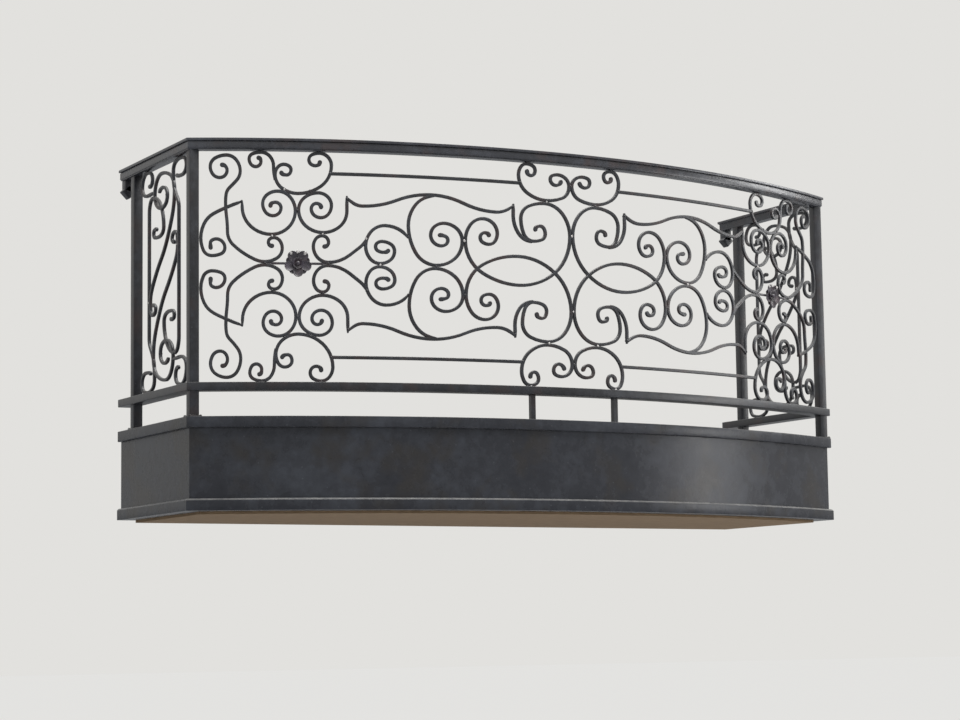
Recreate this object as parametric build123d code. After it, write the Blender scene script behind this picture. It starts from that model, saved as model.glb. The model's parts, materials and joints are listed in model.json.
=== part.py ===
"""Wrought iron balcony: a bowed front, square sides, a scroll railing and a boxed steel base.

X runs along the wall, +Y into the wall, +Z up. The origin is on the wall face of the ledger,
at the middle of its width and height. Millimetres.
"""
from build123d import *
import math
import os

os.makedirs("parts", exist_ok=True)

# Plan: the outer faces of the fascia, which are also the outer faces of the posts
width = 2990.0
side_depth = 716.0
bow = 356.0

# Base, with the walking level at its top
base_height = 356.0
deck_thick = 8.0
fascia_thick = 5.0
ledger_thick = 10.0
top_band_height = 42.0
top_band_reach = 15.0
foot_band_height = 46.0
foot_band_reach = 17.0
foot_band_chamfer = 6.0
foot_flange_thick = 6.0
foot_flange_inset = 58.0
soffit_drop = 10.0
soffit_thick = 26.0
rib_thick = 8.0
rib_count = 5
rib_inset = 200.0
gap = 0.3
overcut = 1.0

# Wall bolts through the ledger
bolt_hole = 18.0
bolt_rows = 200.0
bolt_outer_spacing = 2400.0
bolt_inner_spacing = 800.0

# Railing
rail_height = 1067.0
post_size = 38.0
post_wall = 3.2
post_foot_size = 54.0
post_foot_thick = 5.0
wall_post_setback = 100.0
cap_foot_height = 5.0
cap_lip_reach = 14.0
cap_lip_height = 13.0
cap_neck_reach = 4.0
cap_neck_height = 3.0
cap_body_reach = 8.0
cap_height = 48.5
low_rail_reach = 14.0
low_rail_height = 31.0
low_rail_gap = 98.0
mitre_spare = 4.0
spacer_size = 20.0
spacer_place = 190.0

# Scrollwork: square bars bent to the bow. Its curves are stepped into flats, so that the
# hundreds of curls stay light: the flats of a curl by their most turn and rise, and the
# flats of the bow by their count
bar = 12.7
flat_turn = 32.0
flat_rise = 1.2
bow_flats = 25
weld_sink = 1.0
tip_radius = 8.5
tip_sides = 8
rosette_reach = 48.0
rosette_petals = 8
rosette_petal = 18.0
rosette_thick = 9.0
rosette_boss = 15.0
rosette_boss_top = 8.0
rosette_boss_height = 12.0
rosette_stem = 9.0
bracket_neck = 38.0
bracket_drop = 42.0
bracket_diamond = 60.0

# The scroll pattern as drawn: along the bow from its middle, and up from the deck. It is
# stretched to the opening, while bars that touch keep their distance.
pattern_end = 1505.9
pattern_low = 129.0
pattern_high = 1018.5
pattern_middle = 584.0
pattern_fold = 872.0
bay_line = 472.0
crown_line = 864.8
twin_line = 1133.0
near_small_line = 698.5
far_small_line = 689.0
rosette_place = 1131.0
near_joint = 1014.0
far_joint = 1257.0
side_pattern_reach = 273.6

half = width / 2
radius = (half ** 2 + bow ** 2) / (2 * bow)
centre_y = radius - side_depth - bow
deck_z = base_height / 2
floor_z = -base_height / 2
rail_top = deck_z + rail_height
rail_under = rail_top - cap_height
low_rail_bottom = deck_z + low_rail_gap
low_rail_top = low_rail_bottom + low_rail_height
panel_radius = radius - post_size / 2
panel_end = panel_radius * math.asin((half - post_size) / (panel_radius + bar / 2))
stretch_along = panel_end / pattern_end
stretch_up = (rail_under - low_rail_top) / (pattern_high - pattern_low)

# In the pattern's own measures: half the distance of bars that touch or are welded together
clear_along = (bar + gap) / 2 / stretch_along
clear_up = (bar + gap) / 2 / stretch_up
weld_along = (bar - weld_sink) / 2 / stretch_along
weld_up = (bar - weld_sink) / 2 / stretch_up
edge_along = (bar / 2 + gap) / stretch_along
edge_up = (bar / 2 + gap) / stretch_up
top_reach = pattern_high - edge_up
foot_reach = pattern_low + edge_up
side_reach = top_reach - pattern_middle


def corner(out):
    """The corner of the plan, moved outwards by out on both faces."""
    x = half + out
    return x, centre_y - math.sqrt((radius + out) ** 2 - x ** 2)


def plan_face(out, back=0.0):
    """The balcony's whole plan, moved outwards by out, from the plane y = back."""
    x, y = corner(out)
    front = Vector(0, centre_y - radius - out)
    edges = [
        Line((-x, back), (-x, y)),
        ThreePointArc((-x, y), front, (x, y)),
        Line((x, y), (x, back)),
        Line((x, back), (-x, back)),
    ]
    return Face(Wire(edges))


def plan_slab(out, low, high, back=0.0):
    return extrude(Pos(0, 0, low) * plan_face(out, back), high - low, dir=(0, 0, 1))


def mitre_cutter(side):
    """A large block on the side panel's side of the corner's mitre plane."""
    x, y = corner(-post_size / 2)
    lean = math.degrees(math.asin(x / panel_radius))
    turn = -(90 - lean) / 2
    block = Pos(x, y) * Rot(0, 0, turn) * Pos(0, width / 2, 0) * Box(2 * width, width, 2 * width)
    return block if side > 0 else mirror(block, about=Plane.YZ)


def save(name, *solids):
    """Write one node: one solid, or several that belong together."""
    pieces = [piece for shape in solids for piece in shape.solids()]
    whole = pieces[0] if len(pieces) == 1 else Compound(children=pieces)
    export_step(whole, f"parts/{name}.step")


def mirrored(shape):
    return mirror(shape, about=Plane.YZ)


def base_parts():
    """The boxed base: ledger, ribs, deck, fascia, bands and the stucco panel underneath."""
    under_deck = deck_z - deck_thick
    save("deck", plan_slab(0, under_deck, deck_z))

    ledger = Pos(0, -ledger_thick / 2, (under_deck + floor_z + foot_flange_thick) / 2) * Box(
        width - 2 * fascia_thick - 2 * gap, ledger_thick, under_deck - floor_z - foot_flange_thick)
    for spacing in (bolt_outer_spacing, bolt_inner_spacing):
        for x in (-spacing / 2, spacing / 2):
            for z in (-bolt_rows / 2, bolt_rows / 2):
                hole = Rot(90, 0, 0) * Cylinder(bolt_hole / 2, 4 * ledger_thick)
                ledger -= Pos(x, 0, z) * hole
    save("wall_ledger", ledger)

    low = floor_z + foot_flange_thick
    shell = plan_slab(0, low, under_deck) - plan_slab(-fascia_thick, low, under_deck, overcut)
    cut_right = mitre_cutter(1)
    cut_left = mitre_cutter(-1)
    save("front_fascia", shell - cut_right - cut_left)
    save("right_fascia", shell & cut_right)
    save("left_fascia", shell & cut_left)

    band_low = deck_z - top_band_height
    band = plan_slab(top_band_reach, band_low, deck_z) - plan_slab(0, band_low, deck_z, overcut)
    save("front_top_band", band - cut_right - cut_left)
    save("right_top_band", band & cut_right)
    save("left_top_band", band & cut_left)

    foot_top = floor_z + foot_band_height
    lip = plan_slab(foot_band_reach, floor_z, foot_top - foot_band_chamfer)
    slope = loft([
        Pos(0, 0, foot_top - foot_band_chamfer) * plan_face(foot_band_reach),
        Pos(0, 0, foot_top) * plan_face(foot_band_reach - foot_band_chamfer),
    ])
    foot = lip + slope
    foot -= plan_slab(0, low, foot_top, overcut)
    foot -= plan_slab(-foot_flange_inset, floor_z, low, overcut)
    save("front_foot_band", foot - cut_right - cut_left)
    save("right_foot_band", foot & cut_right)
    save("left_foot_band", foot & cut_left)

    soffit_bottom = floor_z - soffit_drop
    soffit_top = soffit_bottom + soffit_thick
    soffit = plan_slab(-foot_flange_inset - gap, soffit_bottom, soffit_top, -ledger_thick - gap)
    save("soffit", soffit)

    inside = plan_slab(-fascia_thick - gap, soffit_top, under_deck, -ledger_thick)
    ribs = []
    reach = width / 2 - fascia_thick - rib_inset
    for i in range(rib_count):
        x = -reach + 2 * reach * i / (rib_count - 1)
        rib = Pos(x, -side_depth) * Box(rib_thick, 4 * side_depth, 2 * base_height)
        ribs.append(rib & inside)
    save("floor_ribs", *ribs)


def rail_profile(steps):
    """A symmetric rail section from (reach, height) steps, bottom up, about the rail's centre line."""
    points = []
    for reach, low, high in steps:
        points += [(post_size / 2 + reach, low), (post_size / 2 + reach, high)]
    outline = [(-x, z) for x, z in reversed(points)]
    return points + outline


def run_rail(points):
    """Carry a section round the bow and along both sides, and cut the mitres."""
    x_side = half - post_size / 2
    section = Polyline(*[(panel_radius + x, 0, z) for x, z in points], close=True)
    face = Face(Wire(section.edges()))
    lean = math.degrees(math.asin(half / radius)) + mitre_spare
    turned = face.rotate(Axis.Z, -90 - lean)
    ring = revolve(turned, axis=Axis.Z, revolution_arc=2 * lean)
    front = Pos(0, centre_y) * ring
    side_face = Face(Wire(Polyline(*[(x_side + x, 0, z) for x, z in points], close=True).edges()))
    side = extrude(side_face, side_depth + bow, dir=(0, -1, 0))
    right_cut = mitre_cutter(1)
    front = front - right_cut - mitre_cutter(-1)
    right = side & right_cut
    return front, right


def post_at(x, y, low, high):
    outer = Pos(x, y, (low + high) / 2) * Box(post_size, post_size, high - low)
    hollow = post_size - 2 * post_wall
    return outer - Pos(x, y, (low + high) / 2) * Box(hollow, hollow, 2 * (high - low))


def rails_and_posts():
    cap_steps = [
        (cap_neck_reach, rail_under, rail_under + cap_foot_height),
        (cap_body_reach, rail_under + cap_foot_height, rail_top - cap_lip_height - cap_neck_height),
        (cap_neck_reach, rail_top - cap_lip_height - cap_neck_height, rail_top - cap_lip_height),
        (cap_lip_reach, rail_top - cap_lip_height, rail_top),
    ]
    front, right = run_rail(rail_profile(cap_steps))
    save("front_top_rail", front)
    save("right_top_rail", right)
    save("left_top_rail", mirrored(right))

    corner_x, corner_y = corner(-post_size / 2)
    wall_y = -wall_post_setback - post_size / 2
    low = deck_z + post_foot_thick
    posts = {}
    for name, y in (("corner_post", corner_y), ("wall_post", wall_y)):
        post = post_at(corner_x, y, low, rail_under)
        foot = Pos(corner_x, y, deck_z + post_foot_thick / 2) * Box(post_foot_size, post_foot_size, post_foot_thick)
        posts[name] = post + foot
        save("right_" + name, posts[name])
        save("left_" + name, mirrored(posts[name]))

    low_steps = [(low_rail_reach, low_rail_bottom, low_rail_top)]
    front, right = run_rail(rail_profile(low_steps))
    for x, y in ((corner_x, corner_y), (corner_x, wall_y)):
        sleeve = Pos(x, y, deck_z) * Box(post_size + 2 * gap, post_size + 2 * gap, 4 * low_rail_gap)
        front = front - sleeve - mirrored(sleeve)
        right = right - sleeve
    save("front_bottom_rail", front)
    save("right_bottom_rail", right)
    save("left_bottom_rail", mirrored(right))

    lean = spacer_place / panel_radius
    x = panel_radius * math.sin(lean)
    y = centre_y - panel_radius * math.cos(lean)
    spacer = Pos(x, y, deck_z + low_rail_gap / 2) * Rot(0, 0, math.degrees(lean)) * Box(
        spacer_size, spacer_size, low_rail_gap)
    save("spacers", spacer, mirrored(spacer))


def direction(angle):
    return math.cos(math.radians(angle)), math.sin(math.radians(angle))


def turned(heading, angle):
    return (heading[0] * math.cos(angle) - heading[1] * math.sin(angle),
            heading[0] * math.sin(angle) + heading[1] * math.cos(angle))


def biarc_joint(p0, d0, p1, d1):
    """Where the two tangent arcs meet that join p0 to p1 with headings d0 and d1."""
    vx, vy = p1[0] - p0[0], p1[1] - p0[1]
    tx, ty = d0[0] + d1[0], d0[1] + d1[1]
    vt = vx * tx + vy * ty
    vv = vx * vx + vy * vy
    spread = 2 * (1 - (d0[0] * d1[0] + d0[1] * d1[1]))
    if spread < 1e-9:
        reach = vv / (2 * vt)
    else:
        reach = (math.sqrt(vt * vt + spread * vv) - vt) / spread
    return ((p0[0] + p1[0] + reach * (d0[0] - d1[0])) / 2,
            (p0[1] + p1[1] + reach * (d0[1] - d1[1])) / 2)


def arc_steps(start, heading, end):
    """Places and headings along the arc that leaves start along heading and reaches end."""
    vx, vy = end[0] - start[0], end[1] - start[1]
    chord = math.hypot(vx, vy)
    along = (vx * heading[0] + vy * heading[1]) / chord
    across = (heading[0] * vy - heading[1] * vx) / chord
    turn = 2 * math.atan2(across, along)
    if abs(turn) < 1e-4:
        return [(end, heading)]
    curve = max(chord / (2 * math.sin(abs(turn) / 2)), flat_rise)
    most = min(math.radians(flat_turn), 2 * math.acos(1 - flat_rise / curve))
    count = math.ceil(abs(turn) / most)
    steps = []
    for i in range(1, count + 1):
        part = turn * i / count
        reach = chord * math.sin(part / 2) / math.sin(turn / 2)
        way = turned(heading, part / 2)
        place = (start[0] + reach * way[0], start[1] + reach * way[1])
        steps.append((place, turned(heading, part)))
    return steps


def bar_outline(path, half_width, tips):
    """The flat outline of one bar along (along, up, heading) points, joined by tangent arcs."""
    spine = [(path[0][:2], direction(path[0][2]))]
    for along, up, angle in path[1:]:
        goal = (along, up)
        place, heading = spine[-1]
        spine += arc_steps(place, heading, biarc_joint(place, heading, goal, direction(angle)))
        place, heading = spine[-1]
        spine += arc_steps(place, heading, goal)
    left = [(p[0] - half_width * d[1], p[1] + half_width * d[0]) for p, d in spine]
    right = [(p[0] + half_width * d[1], p[1] - half_width * d[0]) for p, d in spine]
    outline = Face(Wire(Polyline(*right, *reversed(left), close=True).edges()))
    for index in tips:
        along, up, angle = path[index]
        tip = Pos(along, up) * Rot(0, 0, angle) * RegularPolygon(tip_radius, tip_sides)
        outline = outline.fuse(tip.face())
    return outline


def folded(up):
    """The height in the pattern's lower half that answers to one in the upper half."""
    if up <= pattern_fold:
        return 2 * pattern_middle - up
    fold = 2 * pattern_middle - pattern_fold
    return fold - (up - pattern_fold) * (fold - foot_reach) / (top_reach - pattern_fold)


def panel_bar(path, start, lower=False, grow=0.0, tips=()):
    """One bar of the front panel, flat in the plane that touches the bow at start."""
    points = []
    for along, up, angle in path:
        height = folded(up) if lower else up
        x = panel_radius * math.sin((along - start) * stretch_along / panel_radius)
        z = low_rail_top + (height - pattern_low) * stretch_up
        points.append((x, z, -angle if lower else angle))
    return bar_outline(points, bar / 2 + grow, tips)


def stepped_bow():
    """The thin upright shell that the front's bars fill, from corner post to corner post."""
    rim = (panel_end + post_size) / panel_radius
    outer, inner = [], []
    for i in range(bow_flats + 1):
        lean = rim * (2 * i / bow_flats - 1)
        for reach, chain in ((panel_radius + bar / 2, outer), (panel_radius - bar / 2, inner)):
            chain.append((reach * math.sin(lean), centre_y - reach * math.cos(lean)))
    plan = Face(Wire(Polyline(*outer, *reversed(inner), close=True).edges()))
    return extrude(Pos(0, 0, deck_z) * plan, rail_height, dir=(0, 0, 1))


def bent(outline, start):
    """Give a flat outline its thickness and bend it to the bow."""
    lean = start * stretch_along / panel_radius
    plane = Plane(origin=(panel_radius * math.sin(lean), centre_y - panel_radius * math.cos(lean), 0),
                  x_dir=(math.cos(lean), math.sin(lean), 0),
                  z_dir=(math.sin(lean), -math.cos(lean), 0))
    block = extrude(plane.location * outline, bow, dir=plane.z_dir, both=True)
    return block & stepped_bow()


crown_bar = [
    (44, 950, 290), (68, 935, 0), (92, 958, 90), (57, 978, 180), (weld_along, 935, 270),
    (113, crown_line + clear_up, 0), (234, 965, 90), (196, top_reach, 180), (160, 988, 270),
    (179, 966, 0), (196, 982, 90),
]
lens_bar = [
    (163, 752, 90), (141, 767, 180), (119, 738, 270), (174, 705, 0), (227, 790, 90),
    (119, crown_line - clear_up, 180), (weld_along, 735, 270), (240, 527, 0),
    (bay_line - clear_along, 690, 90), (389, 782, 180), (330, 727, 270), (368, 682, 0),
    (403, 707, 90), (383, 727, 180), (366, 718, 250),
]
cusp_bar = [(259, 848, 270), (260, 800, 270), (180, 703, 180)]
straight_bar = [(229, 933, 0), (1006, 933, 0)]
wave_bar = [(260, 842, 315), (335, 811, 0), (606, 865, 0), (880, 811, 0), (940, 842, 48)]
bay_bar = [
    (590, 860, 0), (698, 740, 270), (588, pattern_middle + weld_up, 180), (bay_line + clear_along, 690, 90),
    (552, 756, 0), (608, 707, 270), (566, 667, 180), (538, 690, 90), (570, 709, 0),
]
loop_bar = [
    (700, 694, 55), (790, 738, 0), (868, 655, 270), (812, pattern_middle + weld_up, 180), (754, 640, 90),
    (803, 676, 0), (829, 655, 270), (800, 634, 180), (780, 640, 130),
]
tail_bar = [
    (862, 690, 290), (930, 620, 322), (near_joint, pattern_middle + weld_up, 0), (1071, 650, 90),
    (1036, near_small_line - clear_up, 180), (1012, 667, 270), (1028, 651, 0),
]
near_twin_bar = [
    (940, 848, 270), (940, 790, 270), (1035, near_small_line + clear_up, 0), (twin_line - weld_along, 790, 90),
    (1050, 858, 180), (1000, 810, 270), (1042, 762, 0), (1078, 795, 90), (1057, 817, 180), (1040, 803, 260),
]
far_twin_bar = [
    (1343, 826, 270), (1342, 800, 270), (1232, far_small_line + weld_up, 180), (twin_line + weld_along, 787, 90),
    (1207, 862, 0), (1264, 812, 270), (1225, 767, 180), (1194, 797, 90), (1215, 819, 0), (1234, 806, 270),
]
cradle_bar = [
    (1192, 933, 240), (1172, 925, 180), (1155, 945, 90), (1182, 966, 0), (1216, 925, 270),
    (1130, 854, 180), (999, 965, 90), (1045, top_reach, 0), (1086, 985, 270), (1062, 963, 180),
    (1044, 976, 90),
]
hook_bar = [
    (1219, 905, 90), (1222, 960, 90), (1270, top_reach, 0), (1315, 985, 270), (1290, 956, 180),
    (1270, 975, 90), (1279, 990, 10),
]
post_bar = [
    (1229, 651, 0), (1243, 665, 90), (1222, far_small_line - weld_up, 180), (1190, 642, 270),
    (far_joint, pattern_middle + weld_up, 0), (1330, 618, 32), (1398, 705, 90), (1405, 820, 90), (1390, 874, 135),
    (1349, 938, 90), (1402, 1000, 0), (1463, 955, 270), (1427, 913, 180), (1399, 941, 90), (1418, 962, 0),
]
ear_bar = [
    (1343, 824, 318), (1376, 809, 337), (1451, 774, 330), (pattern_end - edge_along, 680, 270),
    (1457, 613, 180), (1408, 643, 90), (1441, 677, 0), (1463, 660, 270), (1462, 644, 270),
]


def both_halves(bars, start, grow=0.0):
    """The outlines of some bars in the upper and the lower half, fused where they cross."""
    faces = []
    for path, tips in bars:
        for lower in (False, True):
            faces.append(panel_bar(path, start, lower, grow, tips))
    return faces[0].fuse(*faces[1:])


def front_scrolls():
    """The front panel's scrollwork, in groups that follow the bow."""
    both_ends = [0, -1]
    last_end = [-1]
    bay_start = (bay_line + twin_line) / 2
    end_start = (twin_line + pattern_end) / 2

    centre = both_halves([(lens_bar, both_ends), (cusp_bar, ())], 0)
    centre = centre.fuse(mirror(centre, about=Plane.YZ))
    save("centre_scrolls", bent(centre, 0))

    for name, lower in (("upper", False), ("lower", True)):
        crown = panel_bar(crown_bar, 0, lower, 0, both_ends)
        crown = crown.fuse(mirror(crown, about=Plane.YZ))
        save(name + "_centre_scrolls", bent(crown, 0))

        middle = (straight_bar[0][0] + straight_bar[1][0]) / 2
        right = bent(panel_bar(straight_bar, middle, lower), middle)
        right -= bent(panel_bar(crown_bar, 0, lower, gap), 0)
        right -= bent(panel_bar(cradle_bar, end_start, lower, gap), end_start)
        save(f"right_{name}_bar", right)
        save(f"left_{name}_bar", mirrored(right))

    bay = both_halves([(wave_bar, ()), (bay_bar, last_end), (loop_bar, last_end), (tail_bar, last_end)], bay_start)
    right = bent(bay, bay_start)
    right -= bent(both_halves([(lens_bar, ()), (cusp_bar, ())], 0, gap), 0)
    right -= bent(both_halves([(near_twin_bar, ())], end_start, gap), end_start)
    save("right_bay_scrolls", right)
    save("left_bay_scrolls", mirrored(right))

    end = both_halves([
        (near_twin_bar, last_end), (far_twin_bar, last_end), (cradle_bar, both_ends),
        (hook_bar, last_end), (post_bar, both_ends), (ear_bar, last_end),
    ], end_start)
    right = bent(end, end_start)
    save("right_end_scrolls", right)
    save("left_end_scrolls", mirrored(right))

    rosette = rosette_at(bay_start, end_start)
    save("right_rosette", rosette)
    save("left_rosette", mirrored(rosette))


def rosette_at(bay_start, end_start):
    """The flower between the four small scrolls, on a stem that ends in the forks to each side."""
    lean = rosette_place * stretch_along / panel_radius
    middle = low_rail_top + (pattern_middle - pattern_low) * stretch_up
    spot = Plane(origin=(panel_radius * math.sin(lean), centre_y - panel_radius * math.cos(lean), middle),
                 x_dir=(math.cos(lean), math.sin(lean), 0),
                 z_dir=(math.sin(lean), -math.cos(lean), 0))
    ring = rosette_reach - rosette_petal
    flower = Cylinder(ring, rosette_thick)
    for i in range(rosette_petals):
        flower += Rot(0, 0, 360 * i / rosette_petals) * Pos(ring, 0, 0) * Cylinder(rosette_petal, rosette_thick)
    boss = Cone(rosette_boss, rosette_boss_top, rosette_boss_height)
    flower += Pos(0, 0, (rosette_thick + rosette_boss_height) / 2) * boss
    low_end = (near_joint - rosette_place) * stretch_along + bar
    high_end = (far_joint - rosette_place) * stretch_along - bar
    flower += Pos((low_end + high_end) / 2, 0, 0) * Box(high_end - low_end, rosette_stem, rosette_stem)
    rosette = spot.location * flower
    rosette -= bent(both_halves([(tail_bar, ())], bay_start, gap), bay_start)
    return rosette - bent(both_halves([(post_bar, ())], end_start, gap), end_start)


rail_link_bar = [
    (97, 337, 0), (175, 335, 0), (231, 376, 90), (182, side_reach, 180), (121, 393, 270), (150, 369, 10),
]
upright_bar = [
    (-78, -187, 190), (-108, -174, 90), (-55, -153, 0), (-2, -188, 270), (-115, -316, 180),
    (-155, -262, 90), (-155, 235, 90), (-110, 318, 62), (-98, 388, 90), (-160, side_reach, 180), (-231, 392, 270),
    (-190, 359, 0), (-140, 364, 20),
]
slant_bar = [
    (44, 333, 140), (12, 343, 180), (-36, 306, 270), (20, 262, 0), (96, 325, 90), (25, 400, 180),
    (-110, 312, 270), (-34, 131, 305), (94, -4, 311), (155 - 2 * weld_along, -95, 270), (115, -149, 180),
    (86, -126, 90), (108, -110, 0),
]


def side_scrolls():
    """The side panels' scrollwork, the same when turned half a turn about its middle."""
    front = corner(-post_size / 2)[1] + post_size / 2
    back = -wall_post_setback - post_size
    stretch = (back - front) / 2 / side_pattern_reach
    faces = []
    for path, tips in ((rail_link_bar, [-1]), (upright_bar, [0, -1]), (slant_bar, [0, -1])):
        for sign in (1, -1):
            points = []
            for along, up, angle in path:
                level = pattern_middle + sign * up
                height = level if level > pattern_middle else folded(2 * pattern_middle - level)
                z = low_rail_top + (height - pattern_low) * stretch_up
                points.append((sign * along * stretch, z, angle if sign > 0 else angle + 180))
            faces.append(bar_outline(points, bar / 2, tips))
    panel = faces[0].fuse(*faces[1:])
    plane = Plane(origin=(half - post_size / 2, (front + back) / 2, 0), x_dir=(0, 1, 0), z_dir=(1, 0, 0))
    right = extrude(plane.location * panel, bar / 2, dir=(1, 0, 0), both=True)
    save("right_side_scrolls", right)
    save("left_side_scrolls", mirrored(right))


def wall_brackets():
    """A neck and a diamond boss on the wall, under the wall end of each top rail."""
    x = half - post_size / 2
    neck = Pos(x, -bracket_neck / 2, rail_under - bracket_drop / 2) * Box(
        bracket_neck, bracket_neck, bracket_drop)
    side = bracket_diamond / math.sqrt(2)
    boss = Pos(x, -bracket_neck / 2, rail_under - bracket_drop) * Rot(0, 45, 0) * Box(side, bracket_neck, side)
    bracket = neck + boss
    save("right_wall_bracket", bracket)
    save("left_wall_bracket", mirrored(bracket))


base_parts()
rails_and_posts()
front_scrolls()
side_scrolls()
wall_brackets()
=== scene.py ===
"""The finish and the fine work of the wrought iron balcony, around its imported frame. Metres, +Z up."""

import json
import math
import random

import bmesh
import bpy
from mathutils import Matrix, Vector, noise


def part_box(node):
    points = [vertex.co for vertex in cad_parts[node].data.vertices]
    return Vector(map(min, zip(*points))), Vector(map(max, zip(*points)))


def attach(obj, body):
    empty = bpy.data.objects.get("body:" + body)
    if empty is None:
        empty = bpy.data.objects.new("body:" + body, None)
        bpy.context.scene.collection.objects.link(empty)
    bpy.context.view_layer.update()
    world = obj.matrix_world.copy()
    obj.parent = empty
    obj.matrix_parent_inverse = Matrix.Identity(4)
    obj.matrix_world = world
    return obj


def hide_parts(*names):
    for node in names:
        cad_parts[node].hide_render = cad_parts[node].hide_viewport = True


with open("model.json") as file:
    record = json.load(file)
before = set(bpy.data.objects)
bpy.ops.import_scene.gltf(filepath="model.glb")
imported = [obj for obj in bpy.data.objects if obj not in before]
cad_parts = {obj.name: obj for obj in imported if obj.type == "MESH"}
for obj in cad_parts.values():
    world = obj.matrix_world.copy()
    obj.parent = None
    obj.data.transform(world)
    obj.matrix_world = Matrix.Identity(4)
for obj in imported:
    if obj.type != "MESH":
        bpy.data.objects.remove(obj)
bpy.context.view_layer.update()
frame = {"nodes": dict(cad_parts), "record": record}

# Main measures of the balcony, read from the frame
CORNER_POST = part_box("right_corner_post")
WALL_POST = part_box("right_wall_post")
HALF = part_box("right_fascia")[1].x
SIDE_DEPTH = -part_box("right_fascia")[0].y
BOW = -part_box("front_fascia")[0].y - SIDE_DEPTH
DECK_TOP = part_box("deck")[1].z
RAIL_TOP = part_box("front_top_rail")[1].z
LOW_RAIL_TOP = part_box("front_bottom_rail")[1].z
RADIUS = (HALF ** 2 + BOW ** 2) / (2 * BOW)
CENTRE_Y = RADIUS - SIDE_DEPTH - BOW

# Stock sizes
MM = 0.001
POST = 38 * MM
POST_ROUNDING = 3 * MM
POST_FOOT = 54 * MM
POST_FOOT_THICK = 5 * MM
RAIL_HEIGHT = 43 * MM
RAIL_UNDER = RAIL_TOP - RAIL_HEIGHT
LOW_RAIL_REACH = 14 * MM
BAR = 12.7 * MM
BAR_CHAMFER = 2.0 * MM
PANEL_RADIUS = RADIUS - POST / 2

# The scroll pattern is drawn in millimetres: along the bow from its middle, and up from the deck.
# Bars that run side by side stand TOUCH to each side of their line, and EDGE inside the rails and posts.
PATTERN_END = 1505.9
PATTERN_LOW = 129.0
PATTERN_HIGH = 1018.5
PATTERN_MIDDLE = 584.0
PATTERN_FOLD = 872.0
SIDE_PATTERN_REACH = 273.6
BAY_LINE = 472.0
CROWN_LINE = 864.8
TWIN_LINE = 1133.0
NEAR_SMALL_LINE = 698.5
FAR_SMALL_LINE = 689.0
ROSETTE_PLACE = 1131.0
NEAR_JOINT = 1014.0
FAR_JOINT = 1257.0
TOUCH = 6.2
EDGE = 6.65
TOP_REACH = PATTERN_HIGH - EDGE
FOOT_REACH = PATTERN_LOW + EDGE
SIDE_REACH = TOP_REACH - PATTERN_MIDDLE
PANEL_END = PANEL_RADIUS * math.asin((HALF - POST) / (PANEL_RADIUS + BAR / 2))
ALONG = PANEL_END / PATTERN_END
UP = (RAIL_UNDER - LOW_RAIL_TOP) / (PATTERN_HIGH - PATTERN_LOW)

# How the bars are forged, with lengths in millimetres: the steps along a curve, then eyes, horns and blows
STEP_TURN = math.radians(9)
STEP_RUN = 26.0
NO_TURN = 1e-4
PARALLEL = 1e-9
EYE_RADIUS = 8.5
EYE_SWELL = 16.0
EYE_THINNING = 0.12
EYE_ROUND = (0.35, 0.65, 0.87, 0.98)
HORN_LENGTH = 22.0
HORN_WIDTH = 0.45
HAMMER = 0.03
HAMMER_SPACING = 31
FLATTEN = 0.03
SEED_STEP = 1.7


def linear(code):
    """A colour written as sRGB hex, turned to linear RGBA."""
    parts = [int(code[i:i + 2], 16) / 255 for i in (1, 3, 5)]
    return tuple(c / 12.92 if c <= 0.04045 else ((c + 0.055) / 1.055) ** 2.4 for c in parts) + (1.0,)


def add(owner, kind, feeds=None, **settings):
    """Add a node: settings by property, feeds as {socket: another node's socket or a plain value}."""
    made = owner.node_tree.nodes.new(kind)
    for key, value in settings.items():
        setattr(made, key, value)
    for key, feed in (feeds or {}).items():
        socket = made.inputs[key] if isinstance(key, int) else [
            s for s in made.inputs if s.name == key and s.enabled][0]
        if isinstance(feed, bpy.types.NodeSocket):
            owner.node_tree.links.new(feed, socket)
        else:
            socket.default_value = feed
    return made


def colour_of(node):
    """The colour output in use of a node that also has other kinds."""
    return [socket for socket in node.outputs if socket.type == "RGBA" and socket.enabled][0]


def new_material(name):
    """A material with an empty node tree."""
    material = bpy.data.materials.new(name)
    material.use_nodes = True
    material.node_tree.nodes.clear()
    return material


def ramp(material, source, stops):
    """A colour ramp with the given (position, colour) stops."""
    made = add(material, "ShaderNodeValToRGB", {"Fac": source})
    elements = made.color_ramp.elements
    while len(elements) < len(stops):
        elements.new(0.5)
    for element, (position, colour) in zip(elements, stops):
        element.position = position
        element.color = colour
    return made.outputs["Color"]


def grey(level):
    """A grey of this linear level."""
    return (level, level, level, 1.0)


def speckle(material, place, grain, detail=4.0, rough=0.6):
    """Noise with lumps of about the given size in metres."""
    return add(material, "ShaderNodeTexNoise", {
        "Vector": place, "Scale": 1 / grain, "Detail": detail, "Roughness": rough}).outputs["Fac"]


# Sizes of the finishes' patterns. Sand grains are about 1 mm and dried splashes 1 to 2 mm across: both are
# drawn two to three times as coarse, so that they show.
BRUSH_MARK = 2.2 * MM
DUST_AND_LIGHT_PATCH = 30 * MM
SPLASH_SPACING = 35 * MM
SAND_GRAIN = 2.4 * MM
FLOAT_MARK = 20 * MM
STUCCO_CLOUD = 50 * MM
WELD_GRAIN = 4 * MM

# Noise crowds round 0.5, so the ramps over the enamel's clouds have their stops close to it. The shift, in
# metres, keeps the rust's pattern apart from the clouds'.
CLOUD_LOW, CLOUD_MIDDLE, CLOUD_HIGH = 0.36, 0.50, 0.64
ELSEWHERE = (3.1, 1.7, 5.3)


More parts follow.
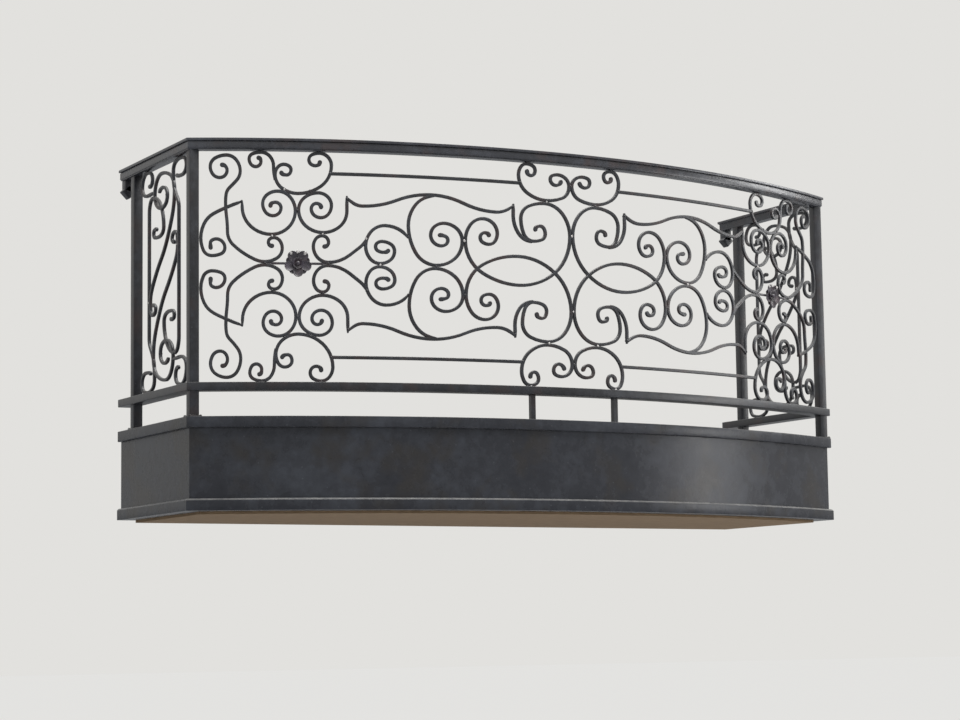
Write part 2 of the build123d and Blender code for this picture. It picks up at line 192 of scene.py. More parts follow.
def bronze_enamel(name, shades, rust, patch, mottle, hammer, gloss, splashes, sheen=0.5):
    """Dark bronze alkyd enamel brushed over steel: cool and nearly black, mottled where it has chalked,
    warm where rust shows through, with dust and a painted highlight lightening the faces that look up.
    Its shades go from dark to pale; patch, mottle and hammer are the sizes of its clouds, its mottling and
    its dents."""
    m = new_material(name)
    place = add(m, "ShaderNodeTexCoord").outputs["Object"]
    clouds = add(m, "ShaderNodeMix", {
        "Factor": 0.45, "A": speckle(m, place, patch), "B": speckle(m, place, mottle, 5.0, 0.65)}).outputs[0]
    body = ramp(m, clouds, list(zip((CLOUD_LOW, CLOUD_MIDDLE, CLOUD_HIGH), map(linear, shades))))

    # Rust that shows through in patches smaller than the clouds, and apart from them
    apart = add(m, "ShaderNodeVectorMath", {0: place, 1: ELSEWHERE}, operation="ADD").outputs[0]
    thin = ramp(m, speckle(m, apart, patch * 0.6, 3.0), [(0.52, grey(0.0)), (0.66, grey(0.7))])
    rusted = colour_of(add(m, "ShaderNodeMix", {"Factor": thin, "A": body, "B": linear(rust)},
                           data_type="RGBA"))

    # Splashes of rain and render that dried on the paint: stops in shares of their spacing
    dots = add(m, "ShaderNodeTexVoronoi", {"Vector": place, "Scale": 1 / SPLASH_SPACING, "Randomness": 1.0})
    dot = ramp(m, dots.outputs["Distance"], [(0.05, grey(splashes)), (0.09, grey(0.0))])
    splashed = colour_of(add(m, "ShaderNodeMix", {"Factor": dot, "A": rusted, "B": linear("#6f7276")},
                             data_type="RGBA"))

    # Dust, with a painted highlight, only where the surface looks up: those faces are lightened
    facing = add(m, "ShaderNodeSeparateXYZ", {0: add(m, "ShaderNodeNewGeometry").outputs["Normal"]})
    upward = ramp(m, facing.outputs["Z"], [(0.30, grey(0.0)), (0.75, grey(1.0))])
    patchy_top_light = ramp(m, speckle(m, place, DUST_AND_LIGHT_PATCH, 6.0, 0.7), [(0.35, grey(0.35)), (0.65, grey(0.75))])
    dust_and_top_light = add(m, "ShaderNodeMath", {0: upward, 1: patchy_top_light}, operation="MULTIPLY").outputs[0]
    dusted_and_top_lit = colour_of(add(m, "ShaderNodeMix", {"Factor": dust_and_top_light, "A": splashed, "B": linear("#918f8b")},
                           data_type="RGBA"))

    rough = ramp(m, clouds, [(CLOUD_LOW, grey(gloss - 0.03)), (CLOUD_HIGH, grey(gloss + 0.08))])
    beaten = add(m, "ShaderNodeMath", {0: speckle(m, place, BRUSH_MARK, 2.0), 1: 0.25,
                                       2: speckle(m, place, hammer, 2.0)}, operation="MULTIPLY_ADD")
    bump = add(m, "ShaderNodeBump", {"Height": beaten.outputs[0], "Strength": 0.4, "Distance": 1.4 * MM})
    shader = add(m, "ShaderNodeBsdfPrincipled", {
        "Base Color": dusted_and_top_lit, "Roughness": rough, "Normal": bump.outputs["Normal"], "IOR": 1.47,
        "Specular IOR Level": sheen})
    add(m, "ShaderNodeOutputMaterial", {"Surface": shader.outputs["BSDF"]})
    return m


def sanded_stucco(name):
    """Cement render, floated with sand: matt and fine grained, in a warm stone colour darkened by painted
    shade.
    """
    m = new_material(name)
    place = add(m, "ShaderNodeTexCoord").outputs["Object"]
    # These browns hold painted shade: they are darker than the render's own stone colour, as the underside is
    # in shade.
    body = ramp(m, speckle(m, place, STUCCO_CLOUD, 5.0), [
        (0.34, linear("#816c52")), (0.50, linear("#867057")), (0.66, linear("#8c765b"))])
    grain = add(m, "ShaderNodeMath", {0: speckle(m, place, SAND_GRAIN, 3.0, 0.7), 1: 0.6,
                                      2: speckle(m, place, FLOAT_MARK, 3.0)}, operation="MULTIPLY_ADD")
    bump = add(m, "ShaderNodeBump", {"Height": grain.outputs[0], "Strength": 0.6, "Distance": 1.2 * MM})
    shader = add(m, "ShaderNodeBsdfPrincipled", {
        "Base Color": body, "Normal": bump.outputs["Normal"], "Roughness": 0.92, "IOR": 1.45})
    add(m, "ShaderNodeOutputMaterial", {"Surface": shader.outputs["BSDF"]})
    return m


def pale_weld_finish(name):
    """Mild steel weld beads, pale grey to nearly white, with a dull metal glint; on the flowers' tips the
    same finish is a painted highlight.
    """
    m = new_material(name)
    place = add(m, "ShaderNodeTexCoord").outputs["Object"]
    scale = speckle(m, place, WELD_GRAIN, 4.0, 0.7)
    body = ramp(m, scale, [(0.35, linear("#8f8b88")), (0.60, linear("#d6d2ce"))])
    bump = add(m, "ShaderNodeBump", {"Height": scale, "Strength": 0.5, "Distance": 0.8 * MM})
    shader = add(m, "ShaderNodeBsdfPrincipled", {
        "Base Color": body, "Normal": bump.outputs["Normal"], "Metallic": 0.3, "Roughness": 0.5})
    add(m, "ShaderNodeOutputMaterial", {"Surface": shader.outputs["BSDF"]})
    return m


BARS = bronze_enamel(
    "dark_bronze_enamel_on_forged_bar", ("#1d1e21", "#292a2e", "#3b3d42"), "#3b2c2a",
    patch=130 * MM, mottle=18 * MM, hammer=9 * MM, gloss=0.36, splashes=0.0)
RAILS = bronze_enamel(
    "dark_bronze_enamel_on_formed_rail", ("#1a1b1e", "#242529", "#33353a"), "#332928",
    patch=200 * MM, mottle=30 * MM, hammer=20 * MM, gloss=0.34, splashes=0.25)
# Paler than the other rails: a painted sheen of the sky along the handrail. Its lower roughness is the polish
# hands give it.
HANDRAIL = bronze_enamel(
    "dark_bronze_enamel_hand_polished_with_painted_sheen", ("#2e2f33", "#38393e", "#45474d"), "#453b3a",
    patch=200 * MM, mottle=30 * MM, hammer=20 * MM, gloss=0.24, splashes=0.25)
# Paler than the bars' enamel: painted light that lifts the dished petals out of their own shade.
FLOWER = bronze_enamel(
    "dark_bronze_enamel_on_pressed_petals_painted_lighter", ("#332f33", "#443f44", "#58525a"), "#54464a",
    patch=60 * MM, mottle=12 * MM, hammer=6 * MM, gloss=0.34, splashes=0.0)
PLATES = bronze_enamel(
    "dark_bronze_enamel_on_rolled_plate", ("#313236", "#393a3e", "#45474c"), "#3c3936",
    patch=350 * MM, mottle=50 * MM, hammer=50 * MM, gloss=0.25, splashes=0.30, sheen=0.16)
STUCCO = sanded_stucco("sanded_cement_stucco_in_painted_shade")
# Pale, nearly white: on the flowers' tips it is a painted highlight.
PALE_SPOT_FINISH = pale_weld_finish("pale_weld_scale_and_painted_glint")


def new_object(name, data):
    """An object that holds this data, linked into the scene."""
    made = bpy.data.objects.new(name, data)
    bpy.context.scene.collection.objects.link(made)
    return made


def finish_piece(name, bm, material, replaced=(), crease=30):
    """Turn a bmesh into a piece of the balcony that rides on its body, sharp past the crease in degrees."""
    mesh = bpy.data.meshes.new(name)
    bm.to_mesh(mesh)
    bm.free()
    mesh.materials.append(material)
    piece = new_object(name, mesh)
    mesh.shade_smooth()
    mesh.set_sharp_from_angle(angle=math.radians(crease))
    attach(piece, "root")
    if replaced:
        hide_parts(*replaced)
    return piece


def folded(up):
    """The height in the pattern's lower half that answers to one in the upper half."""
    if up <= PATTERN_FOLD:
        return 2 * PATTERN_MIDDLE - up
    fold = 2 * PATTERN_MIDDLE - PATTERN_FOLD
    return fold - (up - PATTERN_FOLD) * (fold - FOOT_REACH) / (TOP_REACH - PATTERN_FOLD)


def level(up):
    """The real height of a height in the pattern."""
    return LOW_RAIL_TOP + (up - PATTERN_LOW) * UP


def on_bow(along, up):
    """A place on the bow's middle surface, with its directions along the bow and outwards."""
    lean = along * ALONG / PANEL_RADIUS
    reach = Vector((math.sin(lean), -math.cos(lean), 0))
    place = Vector((0, CENTRE_Y, level(up))) + reach * PANEL_RADIUS
    return place, Vector((math.cos(lean), math.sin(lean), 0)), reach


def turned(heading, angle):
    """A heading turned by an angle in radians."""
    return (heading[0] * math.cos(angle) - heading[1] * math.sin(angle),
            heading[0] * math.sin(angle) + heading[1] * math.cos(angle))


def biarc_joint(p0, d0, p1, d1):
    """Where the two tangent arcs meet that join p0 to p1 with headings d0 and d1."""
    vx, vy = p1[0] - p0[0], p1[1] - p0[1]
    vt = vx * (d0[0] + d1[0]) + vy * (d0[1] + d1[1])
    vv = vx * vx + vy * vy
    spread = 2 * (1 - (d0[0] * d1[0] + d0[1] * d1[1]))
    reach = vv / (2 * vt) if spread < PARALLEL else (math.sqrt(vt * vt + spread * vv) - vt) / spread
    return ((p0[0] + p1[0] + reach * (d0[0] - d1[0])) / 2,
            (p0[1] + p1[1] + reach * (d0[1] - d1[1])) / 2)


def arc_steps(start, heading, end):
    """Places and headings along the arc that leaves start along heading and reaches end."""
    vx, vy = end[0] - start[0], end[1] - start[1]
    chord = math.hypot(vx, vy)
    along = (vx * heading[0] + vy * heading[1]) / chord
    across = (heading[0] * vy - heading[1] * vx) / chord
    turn = 2 * math.atan2(across, along)
    count = max(1, math.ceil(abs(turn) / STEP_TURN), math.ceil(chord / STEP_RUN))
    steps = []
    for i in range(1, count + 1):
        part = turn * i / count
        reach = chord * i / count
        if abs(turn) >= NO_TURN:
            reach = chord * math.sin(part / 2) / math.sin(turn / 2)
        way = turned(heading, part / 2)
        steps.append(((start[0] + reach * way[0], start[1] + reach * way[1]), turned(heading, part)))
    return steps


def spine_of(path):
    """A bar's centre line through its (along, up, heading) points, with tangent arcs between them."""
    spine = [(path[0][:2], turned((1, 0), math.radians(path[0][2])))]
    for along, up, angle in path[1:]:
        place, heading = spine[-1]
        joint = biarc_joint(place, heading, (along, up), turned((1, 0), math.radians(angle)))
        spine += arc_steps(place, heading, joint)
        place, heading = spine[-1]
        spine += arc_steps(place, heading, (along, up))
    return spine


# The bars, as (along, up, heading in degrees) points on their centre lines. The front's are those of the
# right upper quarter, from the middle outwards; the side's last three count from the panel's middle.
CROWN = [
    (44, 950, 290), (68, 935, 0), (92, 958, 90), (57, 978, 180), (TOUCH, 935, 270),
    (113, CROWN_LINE + TOUCH, 0), (234, 965, 90), (196, TOP_REACH, 180), (160, 988, 270),
    (179, 966, 0), (196, 982, 90),
]
LENS = [
    (163, 752, 90), (141, 767, 180), (119, 738, 270), (174, 705, 0), (227, 790, 90),
    (119, CROWN_LINE - TOUCH, 180), (TOUCH, 735, 270), (240, 527, 0),
    (BAY_LINE - TOUCH, 690, 90), (389, 782, 180), (330, 727, 270), (368, 682, 0),
    (403, 707, 90), (383, 727, 180), (366, 718, 250),
]
CUSP = [(259, 848, 270), (260, 800, 270), (180, 703, 180)]
STRAIGHT = [(229, 933, 0), (1006, 933, 0)]
WAVE = [(260, 842, 315), (335, 811, 0), (606, 865, 0), (880, 811, 0), (940, 842, 48)]
BAY = [
    (590, 860, 0), (698, 740, 270), (588, PATTERN_MIDDLE + TOUCH, 180), (BAY_LINE + TOUCH, 690, 90),
    (552, 756, 0), (608, 707, 270), (566, 667, 180), (538, 690, 90), (570, 709, 0),
]
LOOP = [
    (700, 694, 55), (790, 738, 0), (868, 655, 270), (812, PATTERN_MIDDLE + TOUCH, 180), (754, 640, 90),
    (803, 676, 0), (829, 655, 270), (800, 634, 180), (780, 640, 130),
]
TAIL = [
    (862, 690, 290), (930, 620, 322), (NEAR_JOINT, PATTERN_MIDDLE + TOUCH, 0), (1071, 650, 90),
    (1036, NEAR_SMALL_LINE - TOUCH, 180), (1012, 667, 270), (1028, 651, 0),
]
NEAR_TWIN = [
    (940, 848, 270), (940, 790, 270), (1035, NEAR_SMALL_LINE + TOUCH, 0), (TWIN_LINE - TOUCH, 790, 90),
    (1050, 858, 180), (1000, 810, 270), (1042, 762, 0), (1078, 795, 90), (1057, 817, 180), (1040, 803, 260),
]
FAR_TWIN = [
    (1343, 826, 270), (1342, 800, 270), (1232, FAR_SMALL_LINE + TOUCH, 180), (TWIN_LINE + TOUCH, 787, 90),
    (1207, 862, 0), (1264, 812, 270), (1225, 767, 180), (1194, 797, 90), (1215, 819, 0), (1234, 806, 270),
]
CRADLE = [
    (1192, 933, 240), (1172, 925, 180), (1155, 945, 90), (1182, 966, 0), (1216, 925, 270),
    (1130, 854, 180), (999, 965, 90), (1045, TOP_REACH, 0), (1086, 985, 270), (1062, 963, 180),
    (1044, 976, 90),
]
HOOK = [
    (1219, 905, 90), (1222, 960, 90), (1270, TOP_REACH, 0), (1315, 985, 270), (1290, 956, 180),
    (1270, 975, 90), (1279, 990, 10),
]
POST_BAR = [
    (1229, 651, 0), (1243, 665, 90), (1222, FAR_SMALL_LINE - TOUCH, 180), (1190, 642, 270),
    (FAR_JOINT, PATTERN_MIDDLE + TOUCH, 0), (1330, 618, 32), (1398, 705, 90), (1405, 820, 90),
    (1390, 874, 135), (1349, 938, 90), (1402, 1000, 0), (1463, 955, 270), (1427, 913, 180), (1399, 941, 90),
    (1418, 962, 0),
]
EAR = [
    (1343, 824, 318), (1376, 809, 337), (1451, 774, 330), (PATTERN_END - EDGE, 680, 270),
    (1457, 613, 180), (1408, 643, 90), (1441, 677, 0), (1463, 660, 270), (1462, 644, 270),
]
RAIL_LINK = [
    (97, 337, 0), (175, 335, 0), (231, 376, 90), (182, SIDE_REACH, 180), (121, 393, 270), (150, 369, 10),
]
UPRIGHT = [
    (-78, -187, 190), (-108, -174, 90), (-55, -153, 0), (-2, -188, 270), (-115, -316, 180),
    (-155, -262, 90), (-155, 235, 90), (-110, 318, 62), (-98, 388, 90), (-160, SIDE_REACH, 180),
    (-231, 392, 270), (-190, 359, 0), (-140, 364, 20),
]
SLANT = [
    (44, 333, 140), (12, 343, 180), (-36, 306, 270), (20, 262, 0), (96, 325, 90), (25, 400, 180),
    (-110, 312, 270), (-34, 131, 305), (94, -4, 311), (155 - 2 * TOUCH, -95, 270), (115, -149, 180),
    (86, -126, 90), (108, -110, 0),
]


def bar_section(width, thick):
    """The bar's square section with its arrises eased, about its own centre."""
    w, t, c = width / 2, thick / 2, BAR_CHAMFER
    return [(w, -t + c), (w, t - c), (w - c, t), (-w + c, t),
            (-w, t - c), (-w, -t + c), (-w + c, -t), (w - c, -t)]


def end_shape(distance, kind):
    """How wide and how thick a bar is at this distance from one of its ends."""
    if kind == "eye":
        swell = max(0.0, 1 - distance / EYE_SWELL)
        return 1 + (2 * EYE_RADIUS * MM / BAR - 1) * swell * (2 - swell), 1 - EYE_THINNING * swell
    if kind == "horn" and distance < HORN_LENGTH:
        return HORN_WIDTH + (1 - HORN_WIDTH) * distance / HORN_LENGTH, 1.0
    return 1.0, 1.0


def sweep(outlines):
    """Extrude one outline through a row of places and close both ends."""
    bm = bmesh.new()
    edges = bm.faces.new([bm.verts.new(p) for p in outlines[0]]).edges[:]
    for before, after in zip(outlines, outlines[1:]):
        made = bmesh.ops.extrude_edge_only(bm, edges=edges)["geom"]
        fresh = {v for v in made if isinstance(v, bmesh.types.BMVert)}
        edges = [e for e in made if isinstance(e, bmesh.types.BMEdge) and set(e.verts) <= fresh]
        for vert in fresh:
            match = min(range(len(before)), key=lambda i: (before[i] - vert.co).length_squared)
            vert.co = after[match]
    bmesh.ops.contextual_create(bm, geom=edges)
    bmesh.ops.recalc_face_normals(bm, faces=bm.faces)
    return bm


def rounded_end(point, heading, width, thick, sign):
    """Stations past a bar's end that close its eye in a round, the nearest first."""
    stations = []
    for share in EYE_ROUND:
        reach = sign * EYE_RADIUS * share
        there = (point[0] + reach * heading[0], point[1] + reach * heading[1])
        stations.append((there, heading, width * math.sqrt(1 - share ** 2), thick))
    return stations


def forge_bar(group, path, ends, placed, seed, stock=BAR):
    """Draw one square bar through its path, with its ends swelled to eyes or drawn out to horns."""
    spine = spine_of(path)
    flat = 1 - FLATTEN * (seed % 1)
    runs = [0.0]
    for (a, _), (b, _) in zip(spine, spine[1:]):
        runs.append(runs[-1] + math.hypot(b[0] - a[0], b[1] - a[1]))
    stations = []
    for (point, heading), run in zip(spine, runs):
        start_width, start_thick = end_shape(run, ends[0])
        end_width, end_thick = end_shape(runs[-1] - run, ends[1])
        wobble = 1 + HAMMER * noise.noise(Vector((run / HAMMER_SPACING, seed, 0.5)))
        stations.append((point, heading, start_width * end_width * wobble, start_thick * end_thick * flat))
    if ends[0] == "eye":
        stations = rounded_end(*stations[0], -1)[::-1] + stations
    if ends[1] == "eye":
        stations += rounded_end(*stations[-1], 1)
    outlines = []
    for point, heading, width, thick in stations:
        place, along, out = placed(*point)
        way = (along * heading[0] + Vector((0, 0, heading[1]))).normalized()
        here = Matrix((out.cross(way), out, way)).transposed().to_4x4()
        here.translation = place
        outlines.append([here @ Vector((x, y, 0)) for x, y in bar_section(stock * width, stock * thick)])
    bar = sweep(outlines)
    part = bpy.data.meshes.new("bar")
    bar.to_mesh(part)
    bar.free()
    group.from_mesh(part)
    bpy.data.meshes.remove(part)


def halves(path):
    """The bar's path in the pattern's upper half, and folded into its lower half."""
    yield path
    yield [(along, folded(up), -angle) for along, up, angle in path]


def as_drawn(path):
    """The bar's path where it was drawn, on the right."""
    return path


def other_side(path):
    """The bar's path mirrored about the balcony's middle."""
    return [(-along, up, 180 - angle) for along, up, angle in path]


# The shapes of each bar's two ends, and the bars of each group
EYES = ("eye", "eye")
HORN_EYE = ("horn", "eye")
CUT = ("cut", "cut")
HORNS = ("horn", "horn")
CENTRE_BARS = [(LENS, EYES), (CUSP, ("horn", "cut"))]
BAY_BARS = [(WAVE, HORNS), (BAY, HORN_EYE), (LOOP, HORN_EYE), (TAIL, HORN_EYE)]
END_BARS = [(NEAR_TWIN, HORN_EYE), (FAR_TWIN, HORN_EYE), (CRADLE, EYES), (HOOK, HORN_EYE),
            (POST_BAR, EYES), (EAR, HORN_EYE)]
SIDE_BARS = [(RAIL_LINK, HORN_EYE), (UPRIGHT, EYES), (SLANT, EYES)]


def front_groups():
    """Each group of the front panel's bars: its CAD node, and its (path, ends) pairs in forging order."""
    yield "centre_scrolls", [(bar, ends) for path, ends in CENTRE_BARS for half in halves(path)
                             for bar in (half, other_side(half))]
    for name, crown in zip(("upper", "lower"), halves(CROWN)):
        yield f"{name}_centre_scrolls", [(crown, EYES), (other_side(crown), EYES)]
    for side, onto_side in (("right", as_drawn), ("left", other_side)):
        for name, straight in zip(("upper", "lower"), halves(STRAIGHT)):
            yield f"{side}_{name}_bar", [(onto_side(straight), CUT)]
        for name, bars in (("bay", BAY_BARS), ("end", END_BARS)):
            yield f"{side}_{name}_scrolls", [(onto_side(half), ends) for path, ends in bars
                                             for half in halves(path)]


def front_scrolls():
    """The front panel's scrollwork, bar by bar, bent to the bow."""
    seed = 0.0
    for node, bars in front_groups():
        group = bmesh.new()
        for path, ends in bars:
            seed += SEED_STEP
            forge_bar(group, path, ends, on_bow, seed)
        finish_piece(f"forged_{node}", group, BARS, [node])


def on_side(out):
    """The middle surface of one side panel: a function of the place in its pattern."""
    front = (CORNER_POST[0].y + CORNER_POST[1].y + POST) / 2
    back = (WALL_POST[0].y + WALL_POST[1].y - POST) / 2
    stretch = (back - front) / 2 / SIDE_PATTERN_REACH

    def placed(along, up):
        height = PATTERN_MIDDLE + up
        if up <= 0:
            height = folded(PATTERN_MIDDLE - up)
        place = Vector((out * (HALF - POST / 2), (front + back) / 2 + along * stretch, level(height)))
        return place, Vector((0, 1, 0)), Vector((out, 0, 0))

    return placed


# The side bars' hammering: a first seed for a bar and one for the bar opposite, and how the seeds go on
SIDE_SEED, OPPOSITE_SEED = 90.3, 95.7
SIDE_SEED_STEP = 3.1
SIDE_SEED_SHIFT = 7


def side_scrolls():
    """The side panels' scrollwork, the same when turned half a turn about its middle."""
    for side, out in (("right", 1), ("left", -1)):
        group = bmesh.new()
        for index, (path, ends) in enumerate(SIDE_BARS):
            later = SIDE_SEED_STEP * index
            shift = SIDE_SEED_SHIFT * out
            forge_bar(group, path, ends, on_side(out), SIDE_SEED + later + shift)
            opposite = [(-along, -up, angle + 180) for along, up, angle in path]
            forge_bar(group, opposite, ends, on_side(out), OPPOSITE_SEED + later + shift)
        finish_piece(f"forged_{side}_side_scrolls", group, BARS, [f"{side}_side_scrolls"])


# Where bars touch, as (along, up); the beads at those in PALE_WELD_SPOTS are pale, nearly white
WELDS = [
    (113, CROWN_LINE), (BAY_LINE, 690), (588, PATTERN_MIDDLE), (812, PATTERN_MIDDLE),
    (NEAR_JOINT, PATTERN_MIDDLE), (FAR_JOINT, PATTERN_MIDDLE), (1035, NEAR_SMALL_LINE),
    (1229, FAR_SMALL_LINE), (TWIN_LINE, 789), (1083, 864), (1182, 868), (940, 836), (1343, 820), (259, 836),
    (700, 696), (866, 684), (229, 933), (1006, 933),
]
WELDS += [(-along, up) for along, up in WELDS] + [(0, 935), (0, 735)]
WELDS += [(along, folded(up)) for along, up in WELDS if up != PATTERN_MIDDLE]
RAIL_WELD_LOW, RAIL_WELD_HIGH = PATTERN_LOW + 2, PATTERN_HIGH - 2
RAIL_WELDS = [(along, up) for along in (196, -196, 1045, -1045, 1270, -1270)
              for up in (RAIL_WELD_LOW, RAIL_WELD_HIGH)]
PALE_WELD_SPOTS = [
    (-113, CROWN_LINE), (-113, folded(CROWN_LINE)), (113, folded(CROWN_LINE)), (0, 735), (0, folded(735)),
    (-BAY_LINE, 690), (-812, PATTERN_MIDDLE), (-1035, NEAR_SMALL_LINE), (-1229, FAR_SMALL_LINE),
    (-1182, 868), (-866, 684), (588, PATTERN_MIDDLE), (1035, NEAR_SMALL_LINE), (-196, RAIL_WELD_LOW),
    (196, RAIL_WELD_LOW),
]
SIDE_WELDS = [(149, -95), (112, 318), (-35, 306), (160, 333)]
SIDE_PALE_WELD_SPOTS = [(149, -95)]

# A bead's shape, and how far from the bar's middle it sits, in shares of its radius and of the bar
BEAD_LUMPS = 0.3
BEAD_LUMP_SCALE = 1.3
BEAD_STRETCH = 1.2
BEAD_FLATNESS = 0.5
BEAD_PLACE = 0.45
BEAD_SIZES = (3.6, 5.2)
BEAD_SEEDS = 20
BEAD_CREASE = 60


def bead(group, place, across, out, size, seed):
    """One weld bead: a low lump on the joint's face, a little uneven."""
    here = Matrix((across, out.cross(across), out)).transposed().to_4x4()
    here.translation = place
    made = bmesh.ops.create_icosphere(group, subdivisions=2, radius=size)["verts"]
    for vert in made:
        lump = 1 + BEAD_LUMPS * noise.noise(vert.co / size * BEAD_LUMP_SCALE + Vector((seed, 0, 0)))
        vert.co = Vector((vert.co.x * lump, vert.co.y * lump * BEAD_STRETCH, vert.co.z * BEAD_FLATNESS))
    bmesh.ops.transform(group, matrix=here, verts=made)


def weld_beads():
    """Beads on both faces of the joints, some of them pale and nearly white."""
    painted, pale_beads = bmesh.new(), bmesh.new()
    dice = random.Random(4)
    spots = [(on_bow(*spot), spot in PALE_WELD_SPOTS) for spot in WELDS + RAIL_WELDS]
    for out in (1, -1):
        for along, up in SIDE_WELDS:
            for sign in (1, -1):
                spots.append((on_side(out)(sign * along, sign * up), (along, up) in SIDE_PALE_WELD_SPOTS))
    for (place, across, out), bright in spots:
        for face in (1, -1):
            bead(pale_beads if bright else painted, place + out * (face * BAR * BEAD_PLACE), across * face,
                 out * face, dice.uniform(*BEAD_SIZES) * MM, dice.random() * BEAD_SEEDS)
    finish_piece("weld_beads", painted, BARS, crease=BEAD_CREASE)
    finish_piece("pale_weld_beads", pale_beads, PALE_SPOT_FINISH, crease=BEAD_CREASE)


# The flowers, in millimetres: petals in a ring, then each ring's first angle, root, reach, half width,
# height, lift and dish
PETALS = 5
PETAL_RINGS = [(90, 6, 46, 14, 0.5, 3, 4), (54, 6, 52, 19, 3.5, 4, 5)]
PETAL_GRID = (14, 8)
PETAL_CROWDING = 1.5
PETAL_ROOT_WIDTH = 0.3
PETAL_BELLY = 0.55
PETAL_ROUND = 2.6
PETAL_RIM = 0.35
PETAL_MERGE = 0.01
PETAL_THICK = 1.6
BALL_RADIUS = 8
BALL_HEIGHT = 13
CUP_HEIGHT = 9.5
# The cup and the disc behind the petals, as (sides, radius at the foot, radius at the top, height)
CUP = (32, 9, 21, 9)
DISC = (24, 22, 18, 8)
STEM = 9
STEM_OVERLAP = 8
STEM_SEED = 3.3
# Painted highlights on the petals' tips, as (angle, reach, height, radius)
TIPS = [(54, 47, 14, 6.4), (92, 43, 9, 6.0), (126, 47, 14, 5.8), (82, 44, 9, 4.5)]


def petal(group, base, length, width, lift, dish):
    """One pressed petal: narrow at its root, round, and dished so that its rim stands up."""
    made = bmesh.ops.create_grid(group, x_segments=PETAL_GRID[0], y_segments=PETAL_GRID[1], size=1.0)["verts"]
    for vert in made:
        u = 1 - ((1 - vert.co.x) / 2) ** PETAL_CROWDING
        v = vert.co.y
        if u < PETAL_BELLY:
            breadth = PETAL_ROOT_WIDTH + (1 - PETAL_ROOT_WIDTH) * math.sin(math.pi / 2 * u / PETAL_BELLY)
        else:
            breadth = math.sqrt(max(0.0, 1 - ((u - PETAL_BELLY) / (1 - PETAL_BELLY)) ** PETAL_ROUND))
        rim = max(0.0, u - PETAL_RIM) / (1 - PETAL_RIM)
        rise = lift * u + dish * (v * v * breadth + rim * rim)
        vert.co = Vector((u * length, v * breadth * width, rise))
    bmesh.ops.transform(group, matrix=base, verts=made)


def cone(group, sides, foot, top, height, place, capped=True):
    """A cone with this many sides, its two radii and height in millimetres, set at a place."""
    made = bmesh.ops.create_cone(group, cap_ends=capped, segments=sides, radius1=foot * MM, radius2=top * MM,
                                 depth=height * MM)["verts"]
    bmesh.ops.transform(group, matrix=place, verts=made)


def rosette(side, sign):
    """The flower between the four small scrolls: two rings of petals, a cup and a ball, on its stem."""
    place, along, out = on_bow(sign * ROSETTE_PLACE, PATTERN_MIDDLE)
    base = Matrix((along, Vector((0, 0, 1)), out)).transposed().to_4x4()
    base.translation = place
    group = bmesh.new()
    for first, root, reach, width, low, lift, dish in PETAL_RINGS:
        for i in range(PETALS):
            turn = Matrix.Rotation(math.radians(first + 360 * i / PETALS), 4, "Z")
            shift = Matrix.Translation((root * MM, 0, low * MM))
            petal(group, base @ turn @ shift, (reach - root) * MM, width * MM, lift * MM, dish * MM)
    cone(group, *CUP, base @ Matrix.Translation((0, 0, CUP_HEIGHT * MM)), capped=False)
    bmesh.ops.remove_doubles(group, verts=group.verts, dist=PETAL_MERGE * MM)
    bmesh.ops.recalc_face_normals(group, faces=group.faces)
    bmesh.ops.solidify(group, geom=group.faces[:], thickness=PETAL_THICK * MM)
    ball = bmesh.ops.create_uvsphere(group, u_segments=20, v_segments=12, radius=BALL_RADIUS * MM)["verts"]
    bmesh.ops.transform(group, matrix=base @ Matrix.Translation((0, 0, BALL_HEIGHT * MM)), verts=ball)
    cone(group, *DISC, base)
    stem = [(sign * (NEAR_JOINT + STEM_OVERLAP), PATTERN_MIDDLE, 0),
            (sign * (FAR_JOINT - STEM_OVERLAP), PATTERN_MIDDLE, 0)]
    if sign < 0:
        stem.reverse()
    forge_bar(group, stem, CUT, on_bow, STEM_SEED, stock=STEM * MM)
    finish_piece(f"{side}_flower", group, FLOWER, [f"{side}_rosette"])
    # Pale spots on the upper petals' tips: painted highlights.
    tips = bmesh.new()
    for angle, reach, high, size in TIPS:
        way = Vector((math.cos(math.radians(angle)), math.sin(math.radians(angle)), 0))
        spot = base @ (way * reach * MM + Vector((0, 0, high * MM)))
        bead(tips, spot, base.to_3x3() @ Vector((-way.y, way.x, 0)), out, size * MM, angle)
    finish_piece(f"{side}_flower_painted_tip_highlights", tips, PALE_SPOT_FINISH, crease=BEAD_CREASE)


# How many faces round an edge
ROUND_STEPS = 3

# The posts' feet, in millimetres: a screw head as (sides, radius at the foot, radius at the top, height), and
# the weld round a post, with its beads spread over a little less than the post's width
FOOT_ROUNDING = 1
FOOT_SCREW = (6, 3.6, 3.2, 2.6)
FOOT_SCREW_INSET = 4.4
FOOT_WELD_SIZES = (3.0, 3.8)
FOOT_WELD_SEEDS = 9
FOOT_WELD_SPREAD = 3.2


def block(group, size, middle, edge, turn=0.0):
    """A block with all its edges rounded, turned about the wall's direction."""
    made = bmesh.ops.create_cube(group, size=1.0)["verts"]
    bmesh.ops.scale(group, vec=size, verts=made)
    edges = list({e for v in made for e in v.link_edges})
    rounded = bmesh.ops.bevel(group, geom=edges, offset=edge, offset_type="OFFSET", affect="EDGES",
                              segments=ROUND_STEPS, profile=0.5, material=-1)
    verts = list({v for f in rounded["faces"] for v in f.verts})
    place = Matrix.Translation(middle) @ Matrix.Rotation(math.radians(turn), 4, "Y")
    bmesh.ops.transform(group, matrix=place, verts=verts)


def foot_weld(group, middle, dice):
    """Beads in a row round the foot of a post."""
    for quarter in range(4):
        way = Matrix.Rotation(math.radians(90 * quarter), 3, "Z") @ Vector((1, 0, 0))
        across = Vector((-way.y, way.x, 0))
        for i in range(-3, 4):
            spot = way * (POST / 2) + across * (i / FOOT_WELD_SPREAD * POST / 2)
            bead(group, middle + spot, across, Vector((0, 0, 1)), dice.uniform(*FOOT_WELD_SIZES) * MM,
                 dice.random() * FOOT_WELD_SEEDS)


